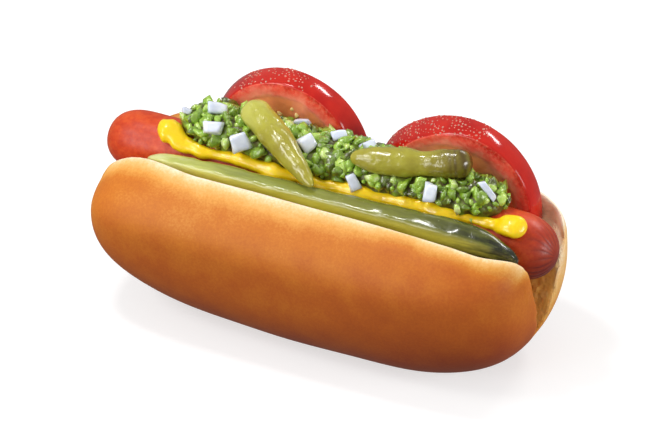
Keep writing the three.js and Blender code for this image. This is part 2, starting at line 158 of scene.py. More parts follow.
def unevenness(points, size, seed):
    """A smooth random value from -1 to 1 at each point, with lumps about size mm across."""
    table = np.random.default_rng(seed).uniform(-1, 1, (32, 32, 32))
    place = np.asarray(points) / size
    cell = np.floor(place).astype(int)
    part = place - cell
    part = part * part * (3 - 2 * part)
    value = 0
    for corner in np.ndindex(2, 2, 2):
        weight = np.prod(np.where(np.array(corner), part, 1 - part), axis=-1)
        at = (cell + corner) % 32
        value = value + weight * table[at[..., 0], at[..., 1], at[..., 2]]
    return value


# Meshes


def shown(name, data):
    made = bpy.data.objects.new(name, data)
    bpy.context.scene.collection.objects.link(made)
    return made


def add_piece(name, points, faces):
    """A shown object from points in mm, with its faces turned outwards."""
    mesh = bpy.data.meshes.new(name)
    mesh.from_pydata((np.asarray(points) * MM).tolist(), [], faces)
    mesh.update()
    mesh.calc_loop_triangles()
    if faces:
        corners = np.array([t.vertices for t in mesh.loop_triangles])
        a, b, c = (np.asarray(points)[corners[:, k]] for k in range(3))
        if np.einsum("ij,ij->i", a, np.cross(b, c)).sum() < 0:
            mesh.flip_normals()
    mesh.shade_smooth()
    return shown(name, mesh)


def rings_of(x, y, z):
    """Rows of rings, one for each x."""
    return np.stack(np.broadcast_arrays(x[:, None], y, z), -1)


def skin(rings, first, last):
    """Points and faces of a closed skin over rows of rings, with a point at each end."""
    rows, count = rings.shape[:2]
    points = np.vstack([rings.reshape(-1, 3), [first], [last]])
    row, i = np.meshgrid(np.arange(rows - 1), np.arange(count), indexing="ij")
    a, b = (row * count + i).ravel(), (row * count + (i + 1) % count).ravel()
    faces = np.stack([a, b, b + count, a + count], 1).tolist()
    i = np.arange(count)
    after, top, end = (i + 1) % count, rows * count, (rows - 1) * count
    faces += np.stack([np.full(count, top), after, i], 1).tolist()
    faces += np.stack([np.full(count, top + 1), end + i, end + after], 1).tolist()
    return points, faces


def with_ends(rows, first, last):
    """One value for each point of a skin: those on its rings, then those at its two ends."""
    return np.concatenate([rows.ravel(), [first, last]])


def plain(name, made):
    """The object with its modifiers worked in, as a plain mesh under a new name."""
    mesh = bpy.data.meshes.new_from_object(made.evaluated_get(bpy.context.evaluated_depsgraph_get()))
    mesh.name = name
    done = shown(name, mesh)
    bpy.data.objects.remove(made)
    return done


def of_vertices(made, what):
    flat = np.zeros(len(made.data.vertices) * 3)
    made.data.vertices.foreach_get(what, flat)
    return flat.reshape(-1, 3)


def points_of(made):
    return of_vertices(made, "co") / MM


def normals_of(made):
    return of_vertices(made, "normal")


def move_to(made, points):
    made.data.vertices.foreach_set("co", (points * MM).ravel())
    made.data.update()


def mark(made, **values):
    """Writes one number for each vertex under each name, for the materials to read."""
    for name, value in values.items():
        layer = made.data.attributes.get(name) or made.data.attributes.new(name, "FLOAT", "POINT")
        full = np.broadcast_to(np.asarray(value, float), len(made.data.vertices))
        layer.data.foreach_set("value", np.ascontiguousarray(full))


def tree_of(made):
    made.data.calc_loop_triangles()
    return BVHTree.FromPolygons(
        [v.co / MM for v in made.data.vertices], [tuple(t.vertices) for t in made.data.loop_triangles]
    )


def joined(name, pieces):
    """One mesh with the faces of all the pieces, to measure distances from."""
    points, faces, start = [], [], 0
    for piece in pieces:
        points.append(points_of(piece))
        faces += [tuple(start + i for i in f.vertices) for f in piece.data.polygons]
        start += len(points[-1])
    return add_piece(name, np.vstack(points), faces)


def hand_over(made, material, slot, *nodes, **marks):
    """Finishes a piece: its marks, its material, its body and the nodes that it replaces. The slot is not
    used.
    """
    mark(made, **marks)
    made.data.materials.clear()
    made.data.materials.append(material)
    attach(made, "root")
    if nodes:
        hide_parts(*nodes)
    return made


# Materials


def colour(red, green, blue):
    """A colour as seen on a screen, 0 to 255, as the shader wants it."""
    shares = (tone / 255 for tone in (red, green, blue))
    return (*(c / 12.92 if c < 0.04 else ((c + 0.055) / 1.055) ** 2.4 for c in shares), 1)


def new_node(tree, kind, inputs, **settings):
    """A node with its settings and inputs, each a number or another node's output; gives its outputs."""
    node = tree.nodes.new(kind)
    for key, value in settings.items():
        setattr(node, key, value)
    for key, value in inputs.items():
        if isinstance(value, bpy.types.NodeSocket):
            tree.links.new(value, node.inputs[key])
        else:
            node.inputs[key].default_value = value
    return node.outputs


class Finish:
    """A material under construction: one shader, and the nodes that feed its colour, roughness and relief.

    soft is the share of light that goes under the surface and how far in mm its red, green and blue get.
    coat is the clear coat's share and roughness.
    """

    def __init__(self, name, soft=None, coat=None, **settings):
        self.material = bpy.data.materials.new(name)
        self.material.use_nodes = True
        self.tree = self.material.node_tree
        self.shader = self.tree.nodes["Principled BSDF"]
        if soft:
            settings |= {"Subsurface_Weight": soft[0], "Subsurface_Radius": [r * MM for r in soft[1:]]}
        if coat:
            settings |= {"Coat_Weight": coat[0], "Coat_Roughness": coat[1]}
        for key, value in settings.items():
            self.shader.inputs[key.replace("_", " ")].default_value = value
        self.place = self.add("ShaderNodeTexCoord", {})["Object"]

    def add(self, kind, inputs, **settings):
        return new_node(self.tree, kind, inputs, **settings)

    def grain(self, size_mm, detail=2.0, roughness=0.5, stretch=None):
        """Cloudy noise from 0 to 1 with lumps about size_mm across."""
        place = self.place
        if stretch:
            place = self.add("ShaderNodeMapping", {"Vector": place, "Scale": stretch})[0]
        inputs = {"Vector": place, "Scale": 1000 / size_mm, "Detail": detail, "Roughness": roughness}
        return self.add("ShaderNodeTexNoise", inputs)["Fac"]

    def drift(self, size_mm, by, edge=0.25, detail=3.0, roughness=0.5, stretch=None):
        """Cloudy noise from -by to by."""
        return self.scale(self.grain(size_mm, detail, roughness, stretch), edge, 1 - edge, -by, by)

    def cells(self, size_mm):
        return self.add("ShaderNodeTexVoronoi", {"Vector": self.place, "Scale": 1000 / size_mm})["Distance"]

    def marked(self, name):
        return self.add("ShaderNodeAttribute", {}, attribute_name=name)["Fac"]

    def scale(self, value, low, high, new_low=0.0, new_high=1.0):
        inputs = dict(enumerate((value, low, high, new_low, new_high)))
        return self.add("ShaderNodeMapRange", inputs, interpolation_type="SMOOTHSTEP")[0]

    def sum(self, a, b, operation="ADD"):
        return self.add("ShaderNodeMath", {0: a, 1: b}, operation=operation)[0]

    def steps(self, value, *stops):
        """A colour read off a row of stops: the place, then red, green and blue."""
        read = self.add("ShaderNodeValToRGB", {0: value})[0]
        ramp = read.node.color_ramp
        for i, (at, *tone) in enumerate(stops):
            stop = ramp.elements[i] if i < 2 else ramp.elements.new(at)
            stop.position, stop.color = at, colour(*tone)
        return read

    def blend(self, share, a, b, kind="RGBA"):
        """From a to b, two colours, or two directions where the kind is VECTOR."""
        first, out = (6, 2) if kind == "RGBA" else (4, 1)
        return self.add("ShaderNodeMix", {0: share, first: a, first + 1: b}, data_type=kind)[out]

    def relief(self, height, strength, depth_mm, under=None):
        inputs = {"Strength": strength, "Distance": depth_mm * MM, "Height": height}
        if under:
            inputs["Normal"] = under
        return self.add("ShaderNodeBump", inputs)[0]

    def done(self, base, normal=None, rough=None):
        for key, value in (("Base Color", base), ("Normal", normal), ("Roughness", rough)):
            if value is not None:
                self.tree.links.new(value, self.shader.inputs[key])
        return self.material


def bun_finish():
    f = Finish("bun crust and crumb", (0.06, 4, 2, 1), Specular_IOR_Level=0.2)
    # crust colour: browning, with painted shade low down and to the right and a painted highlight along the
    # lip
    crust = f.steps(
        f.sum(f.sum(f.marked("bake"), f.drift(9, 0.05)), f.drift(0.8, 0.035, 0.3, 2, 0.7)),
        (0.0, 250, 234, 208), (0.1, 246, 214, 168), (0.24, 236, 184, 110), (0.4, 224, 155, 70),
        (0.56, 206, 120, 40), (0.74, 188, 96, 34), (1.0, 158, 69, 32),
    )
    # the crumb: pale near the lips, golden deeper in and low down, partly toast and partly painted shade
    inside = f.steps(
        f.sum(f.marked("inner"), f.drift(3, 0.12, 0.3)),
        (0.0, 255, 240, 204), (0.45, 252, 218, 156), (1.0, 250, 184, 92),
    )
    crumb, fine = f.marked("crumb"), f.grain(0.8, 3, 0.6)
    torn = f.relief(fine, 0.3, 0.18, f.relief(f.cells(1.3), 0.25, 0.5))
    normal = f.blend(crumb, f.relief(fine, 0.22, 0.12), torn, "VECTOR")
    return f.done(f.blend(crumb, crust, inside), normal, f.scale(crumb, 0, 1, 0.5, 0.85))


def frankfurter_finish():
    f = Finish("frankfurter skin", (0.08, 4, 1.5, 0.8), (0.06, 0.3), Specular_IOR_Level=0.32)
    wide, fine = f.scale(f.grain(11, 3), 0.25, 0.75, 0, 0.6), f.scale(f.grain(1.6, 3, 0.6), 0.3, 0.7, 0, 0.4)
    flesh = f.steps(f.sum(wide, fine), (0.1, 188, 53, 20), (0.5, 204, 68, 24), (0.95, 219, 92, 38))
    # dark tone for the smoked tips, and painted shade low on the right end and in the creases
    base = f.blend(f.marked("smoked"), flesh, colour(116, 38, 30))
    normal = f.relief(f.grain(1.1, 3, 0.6), 0.25, 0.12, f.relief(f.grain(5, 2), 0.3, 0.3))
    return f.done(base, normal, f.scale(f.grain(2.2, 2), 0.2, 0.8, 0.34, 0.52))


def mustard_finish():
    f = Finish("mustard", (0.35, 3, 2, 0.4), (0.4, 0.08), Roughness=0.3, Specular_IOR_Level=0.3)
    # more orange on the side facing down into the sausage: painted shade
    tone = f.sum(f.marked("thin"), f.drift(2.5, 0.18, 0.3))
    base = f.steps(tone, (0.0, 252, 212, 20), (0.5, 252, 200, 14), (1.0, 244, 172, 12))
    return f.done(base, f.relief(f.grain(0.5, 2), 0.12, 0.08, f.relief(f.grain(2.4, 2), 0.35, 0.35)))


def pickle_finish():
    f = Finish("pickle", (0.12, 3, 3, 1), (0.35, 0.06), Roughness=0.26, Specular_IOR_Level=0.5)
    along = f.sum(f.marked("along"), f.drift(2.2, 0.07, 0.3, 3, 0.55, (0.12, 1, 1)))
    peel = f.steps(
        along, (0.0, 206, 208, 140), (0.1, 182, 186, 96), (0.3, 144, 150, 66), (0.55, 130, 132, 52),
        (0.75, 104, 108, 40), (0.9, 70, 74, 24), (0.98, 32, 34, 10),
    )
    cut = f.steps(
        along, (0.0, 212, 212, 128), (0.15, 202, 190, 82), (0.45, 182, 170, 54), (0.85, 174, 164, 58),
        (0.95, 110, 106, 40), (1.0, 56, 54, 20),
    )
    base = f.blend(f.marked("peel"), cut, peel)
    speck = f.scale(f.cells(2.6), 0.0, 0.13, 0.5, 0.0)
    base = f.blend(f.sum(speck, f.marked("peel"), "MULTIPLY"), base, colour(196, 204, 150))
    return f.done(base, f.relief(f.grain(3.0, 3, 0.5), 0.5, 0.5, f.relief(f.grain(0.9, 2), 0.12, 0.1)))


def tomato_finish():
    f = Finish("tomato", (0.1, 5, 1.5, 1), (0.2, 0.05), Specular_IOR_Level=0.3)
    cut = f.steps(
        f.sum(f.marked("depth"), f.drift(4, 0.09)),
        (0.0, 204, 40, 30), (0.05, 228, 70, 54), (0.16, 238, 98, 78), (0.3, 246, 138, 112),
        (0.38, 254, 152, 112), (0.7, 255, 156, 106), (1.0, 252, 142, 92),
    )
    cut = f.blend(f.scale(f.grain(1.1, 3, 0.6), 0.4, 0.75, 0.0, 0.3), cut, colour(240, 160, 126))
    cut = f.blend(f.sum(f.marked("pocket"), 0.45, "MULTIPLY"), cut, colour(250, 146, 76))
    peel = f.steps(f.grain(7, 3), (0.3, 176, 20, 12), (0.7, 198, 36, 20))
    peeled = f.marked("peel")
    wet, even = f.relief(f.grain(1.4, 3, 0.55), 0.35, 0.3), f.relief(f.grain(6, 2), 0.1, 0.3)
    normal = f.blend(peeled, wet, even, "VECTOR")
    return f.done(f.blend(peeled, cut, peel), normal, f.scale(peeled, 0, 1, 0.26, 0.14))


def drop_finish():
    f = Finish("water drops", Roughness=0.04, Specular_IOR_Level=0.9, Transmission_Weight=0.45, IOR=1.33)
    # the drops' pale pink-white colour stands in for their sparkle: a painted highlight
    return f.done(f.steps(f.grain(3, 2), (0.3, 244, 140, 112), (0.7, 255, 206, 184)))


def seed_finish():
    f = Finish("tomato seeds", None, (0.4, 0.05), Roughness=0.2, Specular_IOR_Level=0.6)
    tone = f.steps(f.grain(1.2, 2), (0.3, 232, 190, 92), (0.7, 246, 220, 140))
    return f.done(tone, f.relief(f.grain(0.5, 2), 0.3, 0.1))


def pepper_finish():
    f = Finish("pickled pepper", (0.12, 3, 3, 1), (0.5, 0.03), Roughness=0.25, Specular_IOR_Level=0.5)
    flesh = f.steps(
        f.sum(f.marked("ripe"), f.drift(6, 0.14)),
        (0.0, 126, 114, 30), (0.35, 152, 142, 40), (0.7, 174, 168, 54), (1.0, 192, 190, 88),
    )
    # browner at the stalk, and darker in the folds as painted shade
    base = f.blend(f.marked("brown"), flesh, colour(84, 66, 14))
    return f.done(base, f.relief(f.grain(2.6, 2, 0.5), 0.8, 0.6, f.relief(f.grain(0.7, 2), 0.15, 0.1)))


def relish_finish():
    f = Finish("relish", (0.25, 2, 3, 0.8), (0.9, 0.04), Roughness=0.16, Specular_IOR_Level=0.6)
    base = f.steps(
        f.sum(f.marked("tint"), f.drift(1.5, 0.15)),
        (0.0, 66, 58, 22), (0.12, 92, 102, 32), (0.3, 122, 152, 44), (0.6, 150, 190, 56),
        (0.85, 188, 218, 96), (1.0, 214, 230, 156),
    )
    return f.done(base, f.relief(f.grain(0.9, 3, 0.65), 0.7, 0.5, f.relief(f.cells(1.4), 0.35, 0.4)))


def heap_finish():
    f = Finish("relish mush", None, (0.15, 0.1), Roughness=0.4, Specular_IOR_Level=0.4)
    # darker and browner low in the hollows between the bumps: painted shade in the gaps
    base = f.steps(
        f.sum(f.marked("height"), f.drift(2, 0.3)),
        (0.0, 60, 44, 16), (0.4, 86, 80, 26), (0.7, 106, 122, 34), (1.0, 130, 164, 50),
    )
    return f.done(base, f.relief(f.grain(0.9, 3, 0.6), 0.5, 0.4))


def onion_finish():
    f = Finish("diced onion", (0.3, 2, 2.2, 3), (0.3, 0.05), Roughness=0.18, Specular_IOR_Level=0.5)
    tone = f.sum(f.marked("tint"), f.drift(1.6, 0.2, 0.25, 2, 0.5, (0.3, 1, 1)))
    base = f.steps(tone, (0.0, 206, 214, 230), (0.5, 226, 232, 246), (1.0, 246, 248, 255))
    return f.done(base, f.relief(f.grain(1.3, 2), 0.2, 0.2))


# Bun: a loaf with a split in it, made one soft skin


def bun_tapers(along):
    def one(which):
        left, right = BUN_ENDS[which]
        return np.where(along < 0, taper(along, left), taper(along, right))

    return one("side"), one("top"), one("bottom")


def bun_dip(along, across):
    """What the back half keeps of its rise: all of it at its right end, and least at its left end."""
    lost = BUN_DIPS[0] * (1 - ease(0.45, 0.85, along)) + BUN_DIPS[1] * ease(0.35, 0.85, -along)
    return 1 - lost * ease(0, 0.5, across)


def bun_fill(p):
    """0 on the loaf's middle line and 1 on its skin."""
    x, y, z = p.T
    along = (x - BUN_X) / BUN_LONG
    side, top, bottom = bun_tapers(along)
    across = y / np.maximum(BUN_WIDE * side, 0.01)
    tall = np.where(z > BUN_MIDDLE_Z, BUN_RISE * top * bun_dip(along, across), BUN_DROP * bottom)
    height = np.abs(z - BUN_MIDDLE_Z) / np.maximum(tall, 0.01)
    return (np.abs(across) ** BUN_ROUND + height**BUN_ROUND) ** (1 / BUN_ROUND)


def bun_depth(p):
    """How many mm each point lies under the loaf's skin."""
    fill = bun_fill(p)
    slope = [(bun_fill(p + step) - fill) / 0.2 for step in np.eye(3) * 0.2]
    return (1 - fill) / np.maximum(np.linalg.norm(slope, axis=0), 1e-4)


def split_walls(x):
    """The split's outline at each x: rows of y at rising heights, on its front and on its back wall."""
    past_left = ease(*SPLIT_OPEN, x)
    start, end, power = SPLIT_CLOSE
    past_right = clamp01((x - start) / (end - start)) ** power
    front, knee = (mix(mix(s[0], s[1], past_left), s[2], past_right) for s in (SPLIT_FRONT, SPLIT_KNEE))
    back = mix(*SPLIT_BACK, plateau(x, -51, 64, 10))
    front_wall = [(0.8, 12), (knee * 0.55, 22.5), (knee, 33), (mix(front, knee, 0.18), 43.9), (front, 51),
                  (front + 1, 75)]
    back_wall = [(0.8, 12), (5.8, 23.2), (11.2, 34.4), (back - 0.3, 38), (back, 46), (back + 0.5, 75)]
    return [[(y + 0 * x, z) for y, z in wall] for wall in (front_wall, back_wall)]


def split_rings(x):
    front_wall, back_wall = split_walls(x)
    outline = [(-y, z) for y, z in reversed(front_wall)] + back_wall
    return np.stack([np.stack([x, y, np.full_like(x, z)], -1) for y, z in outline], 1)


def wall_depth(p):
    """How many mm each point lies behind the split's nearer wall, measured level."""
    x, y, z = p.T
    out = []
    for wall in split_walls(x):
        reach = wall[0][0]
        for (y0, z0), (y1, z1) in zip(wall[:-1], wall[1:]):
            reach = np.where(z > z0, mix(y0, y1, clamp01((z - z0) / (z1 - z0))), reach)
        out.append(np.abs(y) - reach)
    return np.where(y < 0, *out)


def round_lips(p):
    """Moves the points near the lips on to one smooth rounded edge between crust and wall."""
    p = p.copy()
    close = ease(5, 3, np.maximum(np.abs(bun_depth(p)), np.abs(wall_depth(p)))) * ease(24, 34, p[:, 2])
    near = np.flatnonzero(close > 0)

    def level(q):
        crust, wall = bun_depth(q), wall_depth(q)
        least = np.minimum(crust, wall)
        return least - 0.8 * np.log(np.exp((least - crust) / 0.8) + np.exp((least - wall) / 0.8)) + 0.1

    for _ in range(3):
        q = p[near]
        value = level(q)
        slope = np.stack([(level(q + step) - value) / 0.1 for step in np.eye(3) * 0.1], 1)
        move = (value / np.maximum((slope**2).sum(1), 0.2))[:, None] * slope
        reach = np.linalg.norm(move, axis=1, keepdims=True)
        p[near] -= close[near, None] * move * np.minimum(1, 1.2 / np.maximum(reach, 1e-6))
    return p


def cut_loaf():
    """The loaf with the split cut out of it, as one skin with soft edges."""
    along, angle = end_crowded(150, 2.2), ring_angles(220)
    side, top, bottom = (t[:, None] for t in bun_tapers(along))
    across, height = (signed_power(f(angle), 2 / BUN_ROUND) for f in (np.cos, np.sin))
    rise = BUN_RISE * top * bun_dip(along[:, None], across)
    z = BUN_MIDDLE_Z + height * np.where(height > 0, rise, BUN_DROP * bottom)
    rings = rings_of(BUN_X + BUN_LONG * along, BUN_WIDE * side * across, np.maximum(z, 0))
    ends = [(BUN_X + BUN_LONG * s, 0, BUN_MIDDLE_Z) for s in (-1, 1)]
    loaf = add_piece("loaf", *skin(rings, *ends))
    cuts = BUN_X + (BUN_LONG + 4) * end_crowded(90, 1.7)
    split = add_piece("split", *skin(split_rings(cuts), (cuts[0], 0, 42), (cuts[-1], 0, 42)))
    cut = loaf.modifiers.new("cut", "BOOLEAN")
    cut.object, cut.operation, cut.solver = split, "DIFFERENCE", "EXACT"
    soft = loaf.modifiers.new("one skin", "REMESH")
    soft.mode, soft.voxel_size = "VOXEL", 0.92 * MM
    relax = loaf.modifiers.new("soft edges", "SMOOTH")
    relax.factor, relax.iterations = 0.5, 9
    bun = plain("bun_baked", loaf)
    bpy.data.objects.remove(split)
    return bun


def distance_to(places, p):
    """How far each point is from the nearest of the places."""
    near = kdtree.KDTree(len(places))
    for i, at in enumerate(places):
        near.insert(at, i)
    near.balance()
    return np.array([near.find(at)[2] for at in p])


def make_bun():
    bun = cut_loaf()
    p = round_lips(points_of(bun))
    move_to(bun, p)
    x, y, z = p.T
    depth, along = bun_depth(p), (x - BUN_X) / BUN_LONG
    lip = distance_to(p[(depth > 0.7) & (depth < 2.8) & (z > 8)], p)

    # how baked the crust is, with painted shade in it: pale near the lips and at the right end's back,
    # darkest low down and towards the right, where the darkening is partly browning and partly painted
    # shade. The thin paler line right at the lip is a painted highlight.
    below = np.maximum(lip, 1.1 * (BUN_MIDDLE_Z + 14 - z))
    reach = mix(10.5, 7.5, ease(-0.2, 0.6, along))
    bake = (0.56 + 0.12 * ease(-0.1, 0.9, along)) * ease(-2, reach, below) + 0.16 * ease(12, 30, below)
    bake += mix(0.16, 0.3, ease(-0.8, 0.2, along)) * ease(26, -2, z)
    bake += 0.05 * unevenness(p, 22, 3) - 0.08 * ease(0.93, 1.0, np.abs(along)) - 0.08 * ease(2.5, 0, lip)
    bake -= 0.4 * ease(0.78, 0.95, along) * ease(-9, 3, y)

    # the crumb inside the split, darker and golden deeper in and low down: partly toast and partly painted
    # shade
    crumb = ease(1.0, 2.2, depth) * ease(5, 9, z)
    golden = ease(38, 29, z + 1.5 * unevenness(p, 5, 4))
    inner = np.maximum(ease(3.5, 9, depth) * mix(1, 0.3, ease(0, 6, y)), golden)

    z += 0.5 * ease(6, 0, lip) * ease(36, 44, z)
    rise = 0.28 * unevenness(p, 21, 11) * (1 - crumb)
    rise += crumb * ease(1.2, 4.5, lip) * (0.3 * unevenness(p, 2.4, 5) + 0.16 * unevenness(p, 1.2, 6))
    p = p + normals_of(bun) * (rise * ease(0.3, 3, z))[:, None]
    p[:, 2] = np.maximum(p[:, 2], 0)
    move_to(bun, p)
    hand_over(bun, bun_finish(), "bun_crust", "bun", crumb=crumb, bake=clamp01(bake), inner=inner)


# Frankfurter and mustard


def sausage_middle(x):
    along = x / SAUSAGE_TIP
    return np.stack([x, np.full_like(x, SAUSAGE_Y), SAUSAGE_Z - SAUSAGE_BOW * along**2], -1)


def sausage_radius(x):
    share = (x + SAUSAGE_TIP) / (2 * SAUSAGE_TIP)
    caps = 1
    for way, length, power in zip((-1, 1), SAUSAGE_CAPS, SAUSAGE_CAP_POWERS):
        caps = caps * taper(clamp01(1 - (SAUSAGE_TIP - way * x) / length), power)
    return mix(*SAUSAGE_RADII, clamp01(share)) * caps


def make_frankfurter():
    x = SAUSAGE_TIP * end_crowded(190, 2.6)
    angle = ring_angles(176)
    to_tip = (SAUSAGE_TIP - np.abs(x))[:, None]
    wander = angle + 0.1 * np.sin(3 * angle + to_tip / 2.5)
    crease = 1 - np.abs(np.sin(10 * wander)) ** 0.5
    crease = crease * ease(10, 2, to_tip + 2.5 * np.sin(5 * angle)) * np.where(x > 0, 1, 0.3)[:, None]
    radius = sausage_radius(x)[:, None] - 0.26 * crease * ease(0, 2, to_tip)
    middle = sausage_middle(x)[:, None, :]
    ring = np.stack([np.zeros_like(angle), np.cos(angle), np.sin(angle)], -1)
    bare = middle + radius[..., None] * ring
    swell = 0.12 * unevenness(bare, 9, 21) + 0.1 * unevenness(bare, 24, 22)
    rings = bare + (swell * ease(0, 3, SAUSAGE_TIP - np.abs(x))[:, None])[..., None] * ring
    ends = [sausage_middle(np.array([s * (SAUSAGE_TIP - 0.5)]))[0] for s in (-1, 1)]
    made = add_piece("frankfurter", *skin(rings, *ends))
    x, _, z = points_of(made).T
    # darker at the tips as smoked ends; darker low on the right end and in the tip creases as painted shade
    smoked = 0.6 * ease(11, 0, SAUSAGE_TIP - x) + 0.2 * ease(5, 0, SAUSAGE_TIP + x)
    smoked += 0.5 * ease(50, 74, x) * ease(44, 34, z) + 0.45 * with_ends(crease, 0.3, 0.6)
    return hand_over(made, frankfurter_finish(), "frankfurter", "sausage", smoked=clamp01(smoked))


def mustard_lean(x):
    lean = np.full_like(x, MUSTARD_LEAN[-1][1], dtype=float)
    for (from_x, start), (to_x, end) in zip(MUSTARD_LEAN[:-1], MUSTARD_LEAN[1:]):
        here = (x >= from_x) & (x < to_x)
        lean[here] = mix(start, end, ease(from_x, to_x, x[here]))
    return np.radians(lean + 1.1 * np.sin(x / 3.1 + 1))


def mustard_radius(x):
    wave = 0.22 * np.sin(x / 4.3) + 0.15 * np.sin(x / 2.2 + 2)
    start = 1.2 * (1 - ease(MUSTARD_FROM + 3, MUSTARD_FROM + 14, x))
    neck = -0.7 * plateau(x, MUSTARD_TO - 17, MUSTARD_TO - 10, 3)
    return MUSTARD_RADIUS + wave + start + neck + 1.3 * ease(MUSTARD_TO - 12, MUSTARD_TO - 4, x)


def make_mustard():
    x = mix(MUSTARD_FROM - 0.3, MUSTARD_TO + 0.3, (end_crowded(420, 1.3) + 1) / 2)
    line = np.stack([x, 0 * x, 0 * x], -1)
    calm = 1 - 0.7 * ease(MUSTARD_TO - 12, MUSTARD_TO - 6, x)
    lean = mustard_lean(x) + np.radians(2.0) * unevenness(line, 5, 31) * calm
    radius = mustard_radius(x)
    from_end = np.minimum(x - MUSTARD_FROM + 0.3, MUSTARD_TO + 0.3 - x)
    rounded = taper(clamp01(1 - from_end / (radius * 1.05)), 2)
    waves = 0.2 * unevenness(line, 4.2, 32) + 0.08 * unevenness(line, 1.9, 36)
    wide = radius * (1.1 + waves * calm) * rounded
    tall = radius * (0.84 + 0.1 * unevenness(line, 5, 33) * calm - 0.22 * (1 - calm)) * rounded
    out = np.stack([0 * x, -np.sin(lean), np.cos(lean)], -1)[:, None, :]
    side = np.stack([0 * x, np.cos(lean), np.sin(lean)], -1)[:, None, :]
    reach = sausage_radius(x) + radius - MUSTARD_SINK
    middle = sausage_middle(x)[:, None, :] + out * reach[:, None, None]
    angle = ring_angles(36)
    flat = signed_power(np.cos(angle), 0.85) * np.where(np.cos(angle) < 0, 1.15, 1)
    rings = middle + side * (wide[:, None] * flat)[..., None]
    rings = rings + out * (tall[:, None] * np.sin(angle))[..., None]
    ridge = 0.1 * unevenness(rings, 2.4, 34) + 0.05 * unevenness(rings, 1.1, 35)
    rings = rings + out * (ridge * (np.sin(angle) > -0.3) * rounded[:, None])[..., None]
    made = add_piece("mustard_line", *skin(rings, middle[0, 0], middle[-1, 0]))
    # the side facing down into the sausage, coloured more orange as painted shade
    thin = ease(0.4, -0.5, np.sin(angle))[None, :] * np.ones((len(x), 1))
    return hand_over(made, mustard_finish(), "mustard", "sausage", thin=with_ends(thin, 0.5, 0.5))


# Pickle spear


def pickle_outline(count):
    """The wedge's section, a little rounded: y, z, share of peel, and shares of the edges' climbs."""

    def side(start, end, bulge):
        share = np.arange(count) / count
        start, end = np.array(start), np.array(end)
        out = np.array([start[1] - end[1], end[0] - start[0]]) / np.linalg.norm(end - start)
        return mix(start, end, share[:, None]) + out * (bulge * np.sin(np.pi * share))[:, None]

    edges = (PICKLE_FRONT, PICKLE_BACK, 2.1), (PICKLE_BACK, PICKLE_SEED, 0), (PICKLE_SEED, PICKLE_FRONT, 1.4)
    outline = np.concatenate([side(*edge) for edge in edges])
    share = np.arange(count) / count
    columns = [
        *outline.T, np.repeat([1.0, 0.0, 0.0], count), np.concatenate([1 - share, 0 * share, share]),
        np.concatenate([share, 1 - share, 0 * share]),
    ]
    for _ in range(7):
        columns = [0.5 * c + 0.25 * (np.roll(c, 1) + np.roll(c, -1)) for c in columns]
    return columns


def make_pickle():
    along = end_crowded(230, 1.9)
    share = (along + 1) / 2
    x = mix(PICKLE_FROM, PICKLE_TO, share)
    size = np.where(along < 0, taper(along, PICKLE_POWERS[0]), taper(along, PICKLE_POWERS[1]))[:, None]
    out_y, out_z, peel, with_front, with_back = pickle_outline(34)
    far, power, until, loss = PICKLE_BACK_CLIMB
    back_climb = far * share**power * (1 - loss * ease(until, 1, share))
    climb = PICKLE_CLIMB * share[:, None] * with_front + back_climb[:, None] * with_back
    y = mix(PICKLE_END[0], out_y, size)
    z = mix(PICKLE_END[1], out_z + climb, size)
    ends = [(at, *PICKLE_END) for at in (PICKLE_FROM, PICKLE_TO)]
    made = add_piece("pickle_cut", *skin(rings_of(x, y, z), *ends))
    p = points_of(made)
    peel = with_ends(np.tile(peel, len(x)), 1, 1)
    warts = 0.28 * unevenness(p, 3.4, 41) + 0.2 * unevenness(p, 7, 42)
    ribs = 0.14 * unevenness(p * np.array([0.12, 1, 1]), 1.7, 43)
    p = p + normals_of(made) * (peel * warts + (1 - peel) * ribs)[:, None]
    move_to(made, p)
    along = (p[:, 0] - PICKLE_FROM) / (PICKLE_TO - PICKLE_FROM)
    hand_over(made, pickle_finish(), "pickle", "pickle_spear", peel=peel, along=along)


# Tomato slices


def tomato_outline(front, back, lobe, lobe_angle, depth, shrink):
    """A slice's outline at a depth behind its front cut: an arc on a straight chord."""
    share = min(max(depth / TOMATO_THICK, 0), 1)
    x, z, radius = (mix(a, b, share) for a, b in zip(front, back))
    radius += 0.5 * math.sin(math.pi * share) - shrink
    chord = TOMATO_FOOT + shrink - z
    start = math.asin(chord / radius)
    turn = np.linspace(0, 1, 150)
    angle = mix(start, math.pi - start, turn)
    uneven = radius * (1 + lobe * np.sin(np.pi * turn) * np.cos(2 * (angle - math.radians(lobe_angle))))
    arc = np.stack([uneven * np.cos(angle), uneven * np.sin(angle)], -1)
    foot = np.linspace(arc[-1], arc[0], 42)[1:-1]
    flat = np.concatenate([arc, foot])
    return np.stack([x + flat[:, 0], np.full(len(flat), TOMATO_Y + depth), z + flat[:, 1]], -1)


